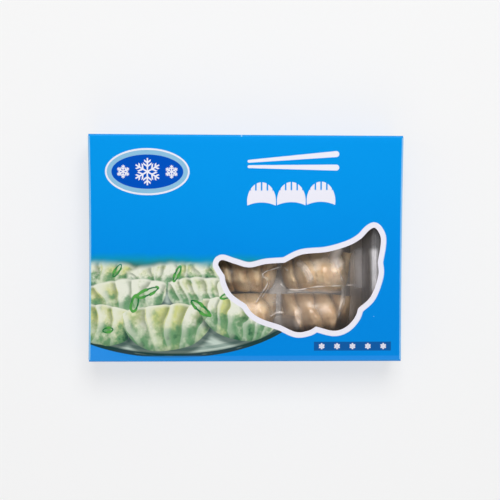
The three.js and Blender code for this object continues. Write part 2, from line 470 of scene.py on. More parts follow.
# A point and its outward direction, as (y, z), at a share of the way along a run.
def onRun(run, share):
    if "centre" in run:
        angle = math.radians(run["turn"] + 90 * share)
        out = np.array([math.cos(angle), math.sin(angle)])
        return np.array(run["centre"]) + run["radius"] * out, out
    a, b = np.array(run["from"], float), np.array(run["to"], float)
    way = (b - a) / np.linalg.norm(b - a)
    return a + (b - a) * share, np.array([way[1], -way[0]])


# Moves a point of the straight carton to where it lies on the real one, with a bowed front and hollow ends.
def settle(point):
    x, y, z = point
    rise, u, v = z / carton["depth"], x / (carton["length"] / 2), y / (carton["width"] / 2)
    dip = carton["hollow"][0 if u < 0 else 1]
    spread = max(0.0, 1 - v * v)
    middle = max(0.0, 1 - u * u) * spread
    wave = noise.noise(Vector(point) * 0.035) + 0.5 * noise.noise(Vector(point) * 0.09)
    lift = (carton["crown"] + carton["wave"] * (wave - 1.2)) * middle
    return (x - rise * u * dip * spread, y, z + rise * lift)


# The outer surface of the folded blank, gathered piece by piece and joined where the pieces meet.
class boardSheet:
    def __init__(self):
        self.points, self.outs, self.gaps, self.folds, self.faces, self.seen = [], [], [], [], [], {}

    def point(self, place, out, gap=99.0, fold=0.0):
        key = tuple(round(c, 3) for c in place)
        if key not in self.seen:
            self.seen[key] = len(self.points)
            self.points.append(place)
            self.outs.append(Vector(out))
            self.gaps.append(gap)
            self.folds.append(fold)
        return self.seen[key]

    def face(self, corners):
        corners = list(dict.fromkeys(corners))
        if len(corners) < 3:
            return
        a, b, c = (Vector(self.points[n]) for n in corners[:3])
        if (b - a).cross(c - a).dot(self.outs[corners[0]] + self.outs[corners[1]]) < 0:
            corners.reverse()
        self.faces.append(corners)

    # Fills rows of points with four-cornered faces, but for the cells that are left out.
    def fill(self, rows, leftOut=()):
        for j, (a, b) in enumerate(zip(rows, rows[1:])):
            for i in range(len(a) - 1):
                if (i, j) not in leftOut:
                    self.face([a[i], a[i + 1], b[i + 1], b[i]])


def wallGrid(sheet, run, xLines, leftOut):
    rows = []
    for share in run["shares"]:
        (y, z), out = onRun(run, share)
        fold = carton["sideFold"] if "centre" in run and 0 < share < 1 else 0.0
        rows.append([sheet.point((x, y, z), (0, *out), fold=fold) for x in xLines])
    sheet.fill(rows, leftOut)


# The part of the front round the window, filled with triangles down to the window's own outline.
def windowPatch(sheet, xLines, yLines):
    outline = windowOutline()
    closed = np.vstack([outline, outline[:1]])
    border = [(x, yLines[0]) for x in xLines] + [(xLines[-1], y) for y in yLines[1:]]
    border += [(x, yLines[-1]) for x in xLines[-2::-1]] + [(xLines[0], y) for y in yLines[-2:0:-1]]
    low, high = outline.min(axis=0) - window["near"], outline.max(axis=0) + window["near"]
    step = window["mesh"]
    columns, lines = (np.arange(low[n], high[n], step) for n in (0, 1))
    coarse = [(x, y) for x in xLines[1:-1] for y in yLines[1:-1]]
    fine = [(x + step * (j % 2) / 2, y) for j, y in enumerate(lines) for x in columns]
    # Points with the least and the greatest distance from the outline at which they are used.
    clouds = [(coarse, window["far"], math.inf), (fine, step * 0.6, window["near"])]
    flat = [*border, *map(tuple, outline)]
    for cloud, nearest, furthest in clouds:
        gap, _ = distanceToLine(np.array(cloud), closed)
        used = ~insideOutline(np.array(cloud), outline) & (gap > nearest) & (gap < furthest)
        flat += [p for p, use in zip(cloud, used) if use]
    count = len(border)
    edges = [(n, (n + 1) % count) for n in range(count)]
    edges += [(count + n, count + (n + 1) % len(outline)) for n in range(len(outline))]
    found = delaunay_2d_cdt([Vector(p) for p in flat], edges, [], 0, 1e-5)
    places, triangles = np.array([tuple(p) for p in found[0]]), found[2]
    gaps, _ = distanceToLine(places, closed)
    spots = [(x, y, carton["depth"]) for x, y in places]
    corners = [sheet.point(spot, (0, 0, 1), gap=gap) for spot, gap in zip(spots, gaps)]
    middles = np.array([places[list(triangle)].mean(axis=0) for triangle in triangles])
    for triangle, hidden in zip(triangles, insideOutline(middles, outline)):
        if not hidden:
            sheet.face([corners[n] for n in triangle])


# A flap in section: straight on beyond the hinge, round its fold and down along the end. Each place is how
# far on and how far down it lies, how far it has turned and how much the print is rubbed and lit by a
# painted highlight.
def flapSection(plane, radius, rubbedAndLitRows, travel, steps):
    straight, quarter = plane - radius - carton["hinge"], math.pi / 2
    section = [(0.0, 0.0, 0.0, 0.0)]
    if straight > 0.01:
        section.append((straight, 0.0, 0.0, 0.0))
    if travel > straight:
        for n in range(1, carton["foldSteps"] + 1):
            turn = quarter * n / carton["foldSteps"]
            rubAndHighlight = carton["endFold"] if n <= rubbedAndLitRows else 0.0
            section.append((straight + radius * math.sin(turn), radius * (1 - math.cos(turn)), turn, rubAndHighlight))
        for drop in np.linspace(radius, radius + travel - straight - radius * quarter, steps + 1)[1:]:
            section.append((straight + radius, drop, quarter, 0.0))
    return section


def endFlap(sheet, side, run, cuts, section):
    shares = [share for share in run["shares"] if cuts[0] - 1e-6 <= share <= cuts[1] + 1e-6]
    rows = []
    for along, drop, turn, rubAndHighlight in section:
        row = []
        for share in shares:
            base, out = onRun(run, share)
            y, z = base - out * drop
            facing = (side * math.sin(turn), out[0] * math.cos(turn), out[1] * math.cos(turn))
            row.append(sheet.point((side * (carton["hinge"] + along), y, z), facing, fold=rubAndHighlight))
        rows.append(row)
    sheet.fill(rows)


def makeCarton(materials):
    sheet = boardSheet()
    runs = sectionRuns()
    xLines = list(np.linspace(-carton["hinge"], carton["hinge"], carton["columns"] + 1))
    yLines = [onRun(runs["front"], share)[0][0] for share in runs["front"]["shares"]]
    outline = windowOutline()
    low, high = outline.min(axis=0) - window["patch"], outline.max(axis=0) + window["patch"]
    left = max(i for i, x in enumerate(xLines) if x <= low[0])
    right = min(i for i, x in enumerate(xLines) if x >= high[0])
    top = max(j for j, y in enumerate(yLines) if y >= high[1])
    bottom = min(j for j, y in enumerate(yLines) if y <= low[1])
    patch = {(i, j) for i in range(left, right) for j in range(top, bottom)}
    for name, run in runs.items():
        wallGrid(sheet, run, xLines, patch if name == "front" else ())
    windowPatch(sheet, xLines[left:right + 1], yLines[top:bottom + 1])
    for side in (-1, 1):
        for names, cuts, inset, *sizes in carton["flaps"]:
            section = flapSection(carton["length"] / 2 - inset, *sizes)
            for name in names:
                endFlap(sheet, side, runs[name], cuts, section)
    points = [settle(p) for p in sheet.points]
    marks = {"windowGap": sheet.gaps, "foldNear": sheet.folds}
    piece = meshObject("cartonBoard", points, sheet.faces, materials, marks)
    wall = piece.modifiers.new("wall", "SOLIDIFY")
    wall.thickness, wall.offset = carton["board"] * mm, -1
    wall.material_offset, wall.material_offset_rim = 1, 2
    mesh = evaluatedMesh(piece)
    piece.modifiers.clear()
    piece.data = mesh
    mesh.name = piece.name
    mesh.polygons.foreach_set("use_smooth", [True] * len(mesh.polygons))
    mesh.set_sharp_from_angle(angle=math.radians(40))
    return piece


board = {
    # The blues from top to low hold a painted shade: lighter at the top, where light falls from above.
    "blueTop": ink(4, 152, 238),
    "blueMid": ink(3, 144, 234),
    "blueLow": ink(5, 139, 230),
    # paler blue of a painted sheen, in the lower left corner and along the lower side
    "paintedSheenBlue": ink(48, 148, 238),
    "white": ink(246, 243, 252),
    # pale cyan on the folds: wear and a painted highlight along each fold's edge
    "wear": ink(104, 202, 255),
    "raw": ink(158, 153, 150),
    "rawFibre": ink(150, 144, 138),
    "rawMottle": ink(110, 106, 104),
    "cut": ink(172, 150, 128),
    "cutFibre": ink(214, 204, 190),
    "sheen": (0.03, 0.45, 1.0, 1.0),  # tint of its gloss
    "nicks": [(-3.3, 71.8, 0.5), (99.8, 7.0, 0.6), (82.3, -43.4, 0.15)],  # places and radii of light scuffs
    "paleLine": (4.2, 3.2),  # how far from the lower side the print gets paler with a painted sheen
    "roughness": 0.42,
}


# Board under its print or bare: fibres that show as a faint grain, and a gloss that can be dulled.
def boardFinish(principled, point, colour, fibreDepth=0.015, dullness=0.0):
    fibre = place(fibreGroup, point=point)
    setInputs(principled, {
        "Base Color": colour,
        "Specular Tint": board["sheen"],
        "Roughness": board["roughness"] + dullness + 0.12 * (fibre["mottle"] - 0.5),
        "Normal": bump(fibre["fibre"], fibreDepth),
    })


# How far a point lies outside an ellipse's edge, below 0 inside. It holds near the edge, where it is used.
def makeEllipseGroup():
    inputs = {"x": 0.0, "y": 0.0, "halfWidth": 1.0, "halfHeight": 1.0, "turn": 0.0}
    group, (x, y, halfWidth, halfHeight, turn) = newGroup("ellipse", inputs, {"gap": "Float"})
    x, y = turned(x, y, turn)
    u, v = x / halfWidth, y / halfHeight
    reach = distance(u, v)
    slope = distance(u / halfWidth, v / halfHeight)
    return groupOutput(group, gap=(reach - 1.0) * reach / most(slope, 0.0001))


# A six-armed snowflake, 1 on its arms and branches.
def makeSnowflakeGroup():
    inputs = {"x": 0.0, "y": 0.0, "radius": 8.0, "line": 0.7}
    group, (x, y, radius, line) = newGroup("snowflake", inputs, {"star": "Float"})
    sixth = math.pi / 3
    angle = (fraction(angleOf(x, y) / sixth + 6.5) - 0.5) * sixth
    reach = distance(x, y)
    along, aside, half = reach * cosine(angle), size(reach * sine(angle)), line * 0.5
    star = most(aside - half, along - radius)
    for start in (0.38, 0.66):
        offset = size(along - radius * start - aside * 0.75) * 0.8 - half
        star = least(star, most(offset, aside - radius * (0.42 - 0.28 * start)))
    return groupOutput(group, star=ramp(star, 0.12, -0.12))


ellipseGroup = makeEllipseGroup()
snowflakeGroup = makeSnowflakeGroup()


def ellipse(x, y, centre, half, degrees=0.0):
    sizes = {"halfWidth": half[0], "halfHeight": half[1], "turn": math.radians(degrees)}
    return place(ellipseGroup, x=x - centre[0], y=y - centre[1], **sizes)["gap"]


def snowflake(x, y, centre, radius, line):
    return place(snowflakeGroup, x=x - centre[0], y=y - centre[1], radius=radius, line=line)["star"]


printed = {
    "cream": ink(240, 241, 222),
    "butter": ink(214, 216, 136),
    "pale": ink(176, 200, 150),
    "green": ink(98, 150, 98),
    "deep": ink(28, 84, 38),
    "crease": ink(84, 104, 50),
}


# A printed dumpling: a gently arched rim above, pleats that run down from it and a round belly below.
def makePrintedDumplingGroup():
    inputs = dict.fromkeys(("x", "y", "turn", "length", "height", "pleats", "seed", "blur"), 0.0)
    group, given = newGroup("printedDumpling", inputs, {"cover": "Float", "colour": "Color"})
    x, y, turn, length, height, pleats, seed, blur = given
    x, y = turned(x, y, turn)
    u, v = x / (length * 0.5), y / height
    here = combine(u, v, seed)
    wobble = speckle(here, 1.5, 1.0, 0.5, seed) - 0.5
    arch = most(1.0 - size(u) ** 2.5, 0.0)
    phase = (u * (1.25 - 0.5 * v) + 0.9 * wobble) * pleats * 0.5 + seed
    tuck = fraction(phase)
    tone = speckle(combine((phase - tuck) * 3.71, seed, 0.0), 1.0, 0.0)
    upper = 0.24 + 0.16 * arch + 0.03 * sine(tuck * math.pi) + 0.12 * wobble
    lower = 0.14 * wobble - 0.56 * arch ** 0.62
    edge = least(upper - v, v - lower) * height
    cover = ramp(least(edge, (1.0 - size(u)) * length * 0.5), blur * -1.0, blur)
    high, belly = ramp(v, -0.40, 0.25), ramp(v, 0.20, -0.25)
    filling = speckle(here, 2.6, 3.0, 0.62, seed + 4.0)
    grain = speckle(here, 10.0, 3.0, 0.65, seed + 9.0)
    width = 0.05 + blur * 0.04
    fold = ramp(tuck, 0.52, 1.0 - width) * ramp(tuck, 1.0, 1.0 - width) * (0.25 + 0.75 * high)
    light = ramp(tuck, 0.0, width) * ramp(tuck, 0.5, 0.15) * (0.3 + 0.7 * high)
    colour = layered(
        blend(ramp(tone + 0.8 * (filling - 0.5), 0.38, 0.68), printed["cream"], printed["butter"]),
        (ramp(grain + 0.3 * belly, 0.50, 0.85) * 0.6, printed["pale"]),
        (ramp(filling + 0.20 * belly, 0.54, 0.74) * 0.9, printed["green"]),
        (ramp(filling + 0.10 * belly, 0.66, 0.78) * 0.8, printed["deep"]),
        (fold * 0.6, printed["crease"]),
        (light * 0.85, printed["cream"]),
        (ramp(grain + 0.25 * light, 0.74, 0.80) * belly * 0.8, printed["cream"]),
        (ramp(edge, 2.4, 0.2) * ramp(v, -0.1, 0.2) * 0.7, printed["cream"]),
        (ramp(edge, 3.0, -0.3) * ramp(v, -0.1, -0.4) * 0.35, printed["deep"]),
    )
    return groupOutput(group, cover=cover, colour=colour)


# The picture: dumplings on a glass plate, and spring-onion rings on them.
picture = {
    "top": (-9.5, -2.0),  # where it fades into the blue above
    "tinted": (-12.8, -6.2),  # and where the blue ink lies thinly over it
    "right": (4.0, 20.0),  # where it fades on the right
    "front": (-42.0, -50.0),  # but below this it goes on
    "behind": (-30.0, -18.0),  # where the plate gives way to the backdrop
    "plate": {"centre": (-46, -27), "half": (88, 43.0), "rim": 2.8, "line": 3.8, "inner": 6.8},
    "glass": ink(203, 217, 203),
    "glassShade": ink(128, 150, 136),
    "plateRim": ink(46, 62, 56),
    "shadow": ink(30, 58, 38),
    "backdrop": ink(70, 100, 58),
    "thinInk": ink(6, 156, 176),
    # Centre, turn in degrees, length, height, pleats, seed and blur, from back to front.
    "dumplings": [
        (-90, -15, -4, 36, 18, 3.0, 1.3, 2.2),
        (-55, -17, 8, 40, 18, 4.0, 2.7, 2.0),
        (-20, -15.5, -5, 36, 18, 3.0, 4.1, 1.5),
        (-76, -30, 4, 50, 25, 4.0, 6.6, 0.7),
        (-24, -29, -4, 52, 24, 5.0, 7.9, 0.6),
        (-92, -47, -8, 44, 26, 3.0, 8.4, 0.3),
        (-50, -48, 4, 56, 31, 4.0, 9.1, 0.25),
        (-4, -43, -10, 50, 27, 5.0, 10.7, 0.3),
    ],
    # Centre, half width and height, turn in degrees and line width.
    "rings": [
        (-63, -28, 8.0, 2.6, 24, 1.7),
        (-71, -35, 2.8, 6.0, -14, 1.5),
        (-29, -38, 8.4, 2.9, -40, 1.9),
        (-12, -30, 5.0, 2.0, 18, 1.3),
        (-44, -16, 5.6, 1.9, 66, 1.4),
        (-82, -14, 5.2, 2.0, 58, 1.3),
        (-88, -52, 3.8, 2.0, 10, 1.2),
    ],
    "onion": ink(16, 104, 36),
    "onionPale": ink(92, 168, 62),
}


def plateColour(x, y, gap):
    rim, line, inner = (picture["plate"][part] for part in ("rim", "line", "inner"))
    streak = speckle(combine(x * 0.22, y + 0.18 * x, 3.0), 0.30)
    band = ramp(gap, -inner, -inner + 0.8)
    glint = ramp(size(gap + rim * 0.5), 0.5, 0.1) * ramp(streak, 0.5, 0.62)
    return layered(
        blend(ramp(streak, 0.45, 0.75), picture["glass"], picture["glassShade"]),
        (ramp(y, *picture["behind"]), picture["backdrop"]),
        (band * 0.7, picture["glassShade"]),
        (band * ramp(size(gap + line), 0.9, 0.2) * 0.7, picture["glass"]),
        (ramp(gap, -rim - 0.3, -rim + 0.5), picture["plateRim"]),
        (glint * 0.5, picture["glassShade"]),
    )


def makePictureGroup():
    outputs = {"cover": "Float", "colour": "Color"}
    group, (x, y) = newGroup("platePicture", {"x": 0.0, "y": 0.0}, outputs)
    here = combine(x, y, 0.0)
    gap = ellipse(x, y, picture["plate"]["centre"], picture["plate"]["half"])
    cover, colour = ramp(gap, 0.3, -0.3), plateColour(x, y, gap)
    dumplingGroup = makePrintedDumplingGroup()
    for centreX, centreY, turn, length, height, pleats, seed, blur in picture["dumplings"]:
        shadow = ellipse(x, y, (centreX, centreY - height * 0.15), (length * 0.51, height * 0.58), turn)
        sizes = {"length": length, "height": height, "pleats": pleats, "seed": seed, "blur": blur}
        one = place(dumplingGroup, x=x - centreX, y=y - centreY, turn=math.radians(turn), **sizes)
        shaded = (ramp(shadow, 1.2, -2.4) * 0.75, picture["shadow"])
        cover, colour = most(cover, one["cover"]), layered(colour, shaded, (one["cover"], one["colour"]))
    leaf = ramp(speckle(here, 0.22, 1.0), 0.36, 0.60)
    onion = blend(leaf, picture["onion"], picture["onionPale"])
    for centreX, centreY, halfWidth, halfHeight, turn, line in picture["rings"]:
        ring = ellipse(x, y, (centreX, centreY), (halfWidth, halfHeight), turn)
        drawn = ramp(size(ring + line * 0.5) - line * (0.28 + 0.42 * leaf), 0.25, -0.25)
        colour = layered(colour, (ramp(ring, 0.1, -0.4) * 0.3, picture["onionPale"]), (drawn, onion))
    drift = speckle(here, 0.06) - 0.5
    colour = blend(ramp(y + 7.0 * drift, *picture["tinted"]) * 0.92, colour, picture["thinInk"])
    fadeTop = ramp(y + 5.0 * drift, *picture["top"][::-1])
    fadeRight = most(ramp(x + 6.0 * drift, *picture["right"][::-1]), ramp(y, *picture["front"]))
    return groupOutput(group, cover=cover * fadeTop * fadeRight, colour=colour)


# The front's other print: a badge, a pair of chopsticks, three half-moons and a strip of snowflakes.
badge = {
    "centre": (-62.9, 48.8),
    "half": (26.7, 14.85),
    "ring": 1.1,
    "inner": 4.0,
    "pale": ink(146, 196, 226),
    "dark": ink(0, 75, 190),
    "flakes": [((-62.9, 48.8), 8.6, 0.95), ((-78.2, 48.8), 4.2, 0.7), ((-47.6, 48.8), 4.2, 0.7)],
}
sticks = {"left": (1.5, 54.0), "right": (57.2, 56.3), "thin": 1.8, "thick": 3.8, "spread": (3.4, 8.6)}
moons = {"centres": [(9.6, 32.0), (28.6, 32.3), (47.6, 32.6)], "half": 9.2, "rise": 12.4, "notches": 5}
strip = {"low": (43.8, -65.5), "high": (93.6, -59.7), "flakes": 5, "radius": 2.0, "line": 0.42}
strip["blue"] = ink(21, 90, 163)


def badgeLayers(x, y):
    gap = ellipse(x, y, badge["centre"], badge["half"])
    return [
        (ramp(gap, 0.15, -0.15), board["white"]),
        (ramp(gap + badge["ring"], 0.15, -0.15), badge["pale"]),
        (ramp(gap + badge["inner"], 0.2, -0.2), badge["dark"]),
        (reduce(most, [snowflake(x, y, *flake) for flake in badge["flakes"]]), board["white"]),
    ]


# A straight stick, thinner at its left end.
def stickMask(x, y, way):
    (leftX, leftY), (rightX, rightY) = sticks["left"], sticks["right"]
    leftSpread, rightSpread = sticks["spread"]
    runX, runY = rightX - leftX, rightY - leftY + way * (rightSpread - leftSpread) / 2
    x, y = x - leftX, y - (leftY + way * leftSpread / 2)
    share = least(most((x * runX + y * runY) / (runX ** 2 + runY ** 2), 0.0), 1.0)
    half = (sticks["thin"] + share * (sticks["thick"] - sticks["thin"])) * 0.5
    return ramp(distance(x - share * runX, y - share * runY) - half, 0.15, -0.15)


def moonMask(x, y, centre):
    u, v = x - centre[0], y - centre[1]
    base = v + 0.22 * u * u / moons["half"] + 2.0
    dome = distance(u, (v + 2.0) * (moons["half"] / moons["rise"])) - moons["half"]
    notch = size(fraction(u * (moons["notches"] / (2 * moons["half"])) + 0.5) - 0.5)
    notch = ramp(notch, 0.10, 0.18) + ramp(v, 5.6, 4.6) + ramp(size(u), 7.2, 7.7)
    return ramp(dome, 0.15, -0.15) * ramp(base, -0.6, -0.2) * least(notch, 1.0)


def stripLayers(x, y):
    (left, bottom), (right, top) = strip["low"], strip["high"]
    field = ramp(least(least(x - left, right - x), least(y - bottom, top - y)), -0.15, 0.15)
    pitch = (right - left) / strip["flakes"]
    wrapped = (fraction((x - left) / pitch) - 0.5) * pitch
    flakes = snowflake(wrapped, y, (0.0, (bottom + top) / 2), strip["radius"], strip["line"])
    return [(field, strip["blue"]), (field * flakes, board["white"])]


def makeFrontGroup():
    inputs = {"point": "Vector", "windowGap": 99.0}
    group, (point, windowGap) = newGroup("frontPrint", inputs, {"colour": "Color"})
    x, y, _ = separate(point)
    # Painted shade: the blue darkens from the top towards the bottom, as light falls from above.
    fall = ramp(y + 24.0 * (speckle(combine(x, y, 0.0), 0.02) - 0.5), 62.0, -66.0)
    plates = place(makePictureGroup(), x=x, y=y)
    masks = [stickMask(x, y, way) for way in (1, -1)]
    masks += [moonMask(x, y, centre) for centre in moons["centres"]]
    colour = layered(
        blend(least(fall * 2.0, 1.0), board["blueTop"], board["blueMid"]),
        (most(fall * 2.0 - 1.0, 0.0), board["blueLow"]),
        # Painted sheen: paler blue in the lower left corner.
        (ramp(x, -50.0, -96.0) * ramp(y, -56.0, -66.0), board["paintedSheenBlue"]),
        (plates["cover"], plates["colour"]),
        *badgeLayers(x, y),
        (reduce(most, masks), board["white"]),
        *stripLayers(x, y),
        (ramp(windowGap, window["border"] + 0.25, window["border"] - 0.25), board["white"]),
    )
    return groupOutput(group, colour=colour)


def makePrintedBoard():
    material, principled, point = newMaterial("printedBoard")
    x, y, z = (value / mm for value in separate(point))
    fold = attribute(point.tree, "foldNear")
    for nickX, nickY, radius in board["nicks"]:
        fold = most(fold, ramp(distance(x - nickX, y - nickY) - radius, 0.3, -0.1))
    wear = place(wearGroup, point=point, nearness=fold, amount=0.75)["wear"]
    gap = attribute(point.tree, "windowGap")
    front = place(makeFrontGroup(), point=combine(x, y, z), windowGap=gap)["colour"]
    # Painted sheen: paler blue along the lower side.
    paleStart, paleEnd = (step - carton["width"] / 2 for step in board["paleLine"])
    front = blend(ramp(y, paleStart, paleEnd) * 0.7, front, board["paintedSheenBlue"])
    colour = layered(
        blend(ramp(z, carton["depth"] - 0.9, carton["depth"] - 0.5), board["blueMid"], front),
        # Pale cyan along the folds is wear and a painted highlight; at the scuffs it is wear.
        (fold * 0.8, board["wear"]),
        (wear * 0.2, board["white"]),
    )
    boardFinish(principled, point, colour, dullness=0.4 * fold)
    return material


def makeRawBoard():
    material, principled, point = newMaterial("rawBoard")
    fibre = place(fibreGroup, point=point, scale=1400.0)
    colour = blend(ramp(fibre["fibre"], 0.35, 0.7), board["raw"], board["rawFibre"])
    colour = blend(ramp(fibre["mottle"], 0.4, 0.7) * 0.4, colour, board["rawMottle"])
    boardFinish(principled, point, colour, 0.03)
    setInputs(principled, {"Specular IOR Level": 0.2})
    return material


def makeCutEdge():
    material, principled, point = newMaterial("cutEdge")
    fibre = place(fibreGroup, point=point, scale=2400.0, stretch=8.0)
    colour = blend(ramp(fibre["fibre"], 0.3, 0.7), board["cut"], board["cutFibre"])
    boardFinish(principled, point, colour, 0.03)
    return material


cartonPiece = makeCarton([makePrintedBoard(), makeRawBoard(), makeCutEdge()])
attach(cartonPiece, "root")
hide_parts("carton")
print("carton made:", len(cartonPiece.data.polygons), "faces")


dumpling = {
    "shape": {
        "length": 46.0,
        "depth": 29.2,
        "height": 21.6,
        "rimHeight": 13.0,
        "rimSweep": 1.4,
        "ridge": 0.52,
        "relief": 5.4,
        "lean": -0.85,
        "fade": 0.3,
        "drop": 3.6,  # how squarely the front falls
        "drift": 0.7,
        "unevenness": 1.0,
    },
    "pitch": (9.8, 12.4),  # least and most
    "tuck": (-6, 6),  # place of one pleat
    "boldness": 0.3,  # depth of the faintest pleat, as a share of the relief
    # The same on those that the window shows, by row and column: pitch, place of one pleat, boldness.
    "shown": {
        (1, 1): (9.8, 1.4, 0.8),
        (1, 2): (11.6, -2.4, 0.3),
        (0, 1): (11.4, 6.5, 0.3),
        (0, 2): (12.5, 1.5, 0.8),
    },
    "grid": (97, 61),
    "top": 0.78,  # share of the grid's rows that go to the upper side
    "bed": 0.9,  # height of the back panel and the film under it
    "rows": (4, 28.8, -1.6),  # count, pitch and middle
    "columns": (3, 47.9, -0.5),
    "turn": 3.0,  # degrees, at most, either way
    "shift": 0.7,
    "seed": 11,
}


# A grid bent into a dumpling. Its u runs along the length, its v from the rim over the ridge to the front.
def makeDumplingTree():
    sizes = dict.fromkeys([*dumpling["shape"], "pitch", "tuck", "boldness", "seed", "turn"], 0.0)
    inputs = {**sizes, "place": "Vector", "material": "Material"}
    group, given = newGroup("pleatedDumpling", inputs, {"geometry": "Geometry"}, "GeometryNodeTree")
    length, depth, height, rimHeight, rimSweep, ridge, relief, lean, fade, drop, drift = given[:11]
    unevenness, pitch, tuck, boldness, seed, turn, position, material = given[11:]
    columns, rows = dumpling["grid"]
    sizes = {"Size X": 2.0, "Size Y": 1.0, "Vertices X": columns, "Vertices Y": rows}
    grid = addNode(group, "GeometryNodeMeshGrid", sizes)
    u, t, _ = separate(addNode(group, "GeometryNodeInputPosition", {}))
    u = sign(u) * size(u) ** 0.8  # closer rows towards the pinched ends
    t = t + 0.5
    onTop = below(t, dumpling["top"] + 0.0001)
    v = least(t / dumpling["top"], (1.0 - t) / (1.0 - dumpling["top"]))
    plan = most(1.0 - size(u) ** 5.5, 0.0) ** 0.36
    x, y = u * length * 0.5, depth * 0.5 - rimSweep * u * u - v * depth * plan
    isRising = below(v, ridge)
    rising, falling = least(v / ridge, 1.0), most((v - ridge) / (1.0 - ridge), 0.0)
    swell = isRising * sine(rising * (math.pi / 2))
    swell = swell + (1.0 - isRising) * most(1.0 - falling ** drop, 0.0) ** 0.5
    crest = height * most(1.0 - size(u) ** 4.0, 0.0) ** 0.5
    low = rimHeight * isRising
    here = combine(x * 0.1, y * 0.1, seed)
    wander = speckle(here, 0.9, 1.0, 0.5, seed) - 0.5
    phase = (x - tuck) / pitch + lean * (v - 0.5) + wander * drift
    nearest = whole(phase + 0.5)
    aside = phase - nearest
    chance = speckle(combine(nearest * 3.7, seed, 0.0), 1.0, 0.0)
    bold = boldness + (1.2 - boldness) * ramp(chance, 0.32, 0.68)
    cusp = most(1.0 - 2.0 * most(aside, aside * -1.7), 0.0) ** 1.6 * bold
    lump = speckle(here, 2.4, 2.0, 0.5, seed + 5.0) - 0.5
    fading = 1.0 - fade * v
    upper = most(low + (crest - low) * swell - relief * cusp * fading + lump * unevenness * swell, 0.4)
    under = ramp(v, 0.42, 0.0) * (rimHeight - 2.4)
    z = onTop * upper + (1.0 - onTop) * least(under, upper - 0.4)
    shape, steps = grid, {
        # The depth of each pleat's tuck, kept for the painted shade in the tucks.
        "StoreNamedAttribute": {"Name": "tuck", "Value": cusp * onTop * fading},
        "SetPosition": {"Position": combine(x * mm, y * mm, z * mm)},
        "MergeByDistance": {"Distance": 0.02 * mm},
        "Transform": {"Translation": position, "Rotation": combine(0.0, 0.0, turn)},
    }
    for kind, inputs in steps.items():
        shape = addNode(group, "GeometryNode" + kind, {"Geometry": shape, **inputs})
    return finishTree(group, shape, material)


dough = {
    "light": ink(253, 235, 199),
    "mid": ink(238, 208, 160),
    "thin": ink(200, 169, 130),  # painted shade, for the dough to the right and in the lowest row
    # painted shade in the pleats' tucks
    "shade": ink(180, 144, 102),
    "tuck": ink(104, 78, 58),
    "lowerRow": (-24.0, -32.0),  # y over which the lowest row begins, which gets a little painted shade
    "darker": (8.0, 30.0),  # and x over which painted shade darkens the dough to the right
    "roughness": 0.72,
    "glow": {"Subsurface Weight": 0.15, "Subsurface Radius": (1.0, 0.6, 0.35), "Subsurface Scale": 0.003},
}


def makeDough():
    material, principled, point = newMaterial("dumplingDough")
    broad = speckle(point, 90.0)
    fine = speckle(point, 1100.0, 3.0, 0.6)
    spots = speckle(point, 420.0, 1.0, 0.4, 5.0)
    x, y, _ = separate(point)
    low = ramp(y / mm, *dough["lowerRow"])
    # Painted shade: the dough is darker to the right and in the lowest row.
    thin = 0.25 * low + ramp(x / mm + 50.0 * (broad - 0.5), *dough["darker"]) * (0.15 + 0.4 * low)
    colour = layered(
        blend(ramp(broad, 0.35, 0.65), dough["light"], dough["mid"]),
        (thin, dough["thin"]),
        (ramp(spots, 0.62, 0.78) * 0.4, dough["shade"]),
        (ramp(fine, 0.3, 0.7) * 0.2, dough["shade"]),
        # Painted shade darkens the dough in the pleats' tucks.
        (ramp(attribute(point.tree, "tuck"), 0.2, 1.1) * 0.7, dough["tuck"]),
    )
    setInputs(principled, {
        "Base Color": colour,
        "Roughness": dough["roughness"] + 0.15 * (fine - 0.5),
        "Normal": bump(fine * 0.6 + spots * 0.4, 0.06),
        **dough["glow"],
    })
    return material


def makeDumplings():
    tree, material = makeDumplingTree(), makeDough()
    draw = np.random.default_rng(dumpling["seed"])
    rows, rowPitch, rowMiddle = dumpling["rows"]
    columns, columnPitch, columnMiddle = dumpling["columns"]
    points, faces, tucks = [], [], []
    for row in range(rows):
        for column in range(columns):
            dx, dy, turn = draw.uniform(-1, 1, 3)
            chance = [draw.uniform(*dumpling[name]) for name in ("pitch", "tuck")] + [dumpling["boldness"]]
            pitch, tuck, boldness = dumpling["shown"].get((row, column), chance)
            x = columnMiddle + (column - (columns - 1) / 2) * columnPitch + dx * dumpling["shift"]
            y = rowMiddle + (row - (rows - 1) / 2) * rowPitch + dy * dumpling["shift"]
            values = {
                **dumpling["shape"],
                "pitch": pitch,
                "tuck": tuck,
                "boldness": boldness,
                "seed": float(draw.uniform(0, 20)),
                "turn": math.radians(dumpling["turn"] * turn),
                "place": Vector((x, y, dumpling["bed"])) * mm,
                "material": material,
            }
            holder = bpy.data.objects.new("dumpling", bpy.data.meshes.new("dumpling"))
            mesh = meshFromTree(holder, tree, values)
            gather(points, faces, mesh)
            tucks += [item.value for item in mesh.attributes["tuck"].data]
    piece = meshObject("dumplings", points, faces, [material], marks={"tuck": tucks})
    piece.data.set_sharp_from_angle(angle=math.radians(50))
    return piece


dumplings = makeDumplings()
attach(dumplings, "root")
print("dumplings made:", len(dumplings.data.polygons), "faces")


film = {
    "length": 156.0,
    "width": 122.0,
    "middle": (-0.5, -1.6),
    "endHeight": 12.3,
    "sideHeight": 5.8,
    "bed": 0.85,  # height of its lower sheet
    "endRun": 9.0,
    "sideRun": 3.0,
    "cell": 1.2,  # where it is relaxed
    "fine": 0.42,  # under the window
    "coarse": 2.0,
    "shown": ((-20.0, 90.0), (-56.0, 18.0)),  # x and y of what the window shows
    "lift": 0.25,
    "sag": 0.012,
    "rounds": 500,
    "crinkle": 0.16,
    "glintWidth": 0.38,  # the bright line along a crease
    "glintHaze": 1.35,  # and how strong it is for each millimetre of the crease's height
    "overDough": (0.96, 0.88, 0.82, 1.0),
    "overBoard": (0.93, 0.91, 0.94, 1.0),
    "tintEdge": (68.0, 76.0),
    "metallic": 0.4,
    "ior": 1.65,
    "mist": 0.08,  # how milky it is all over
}

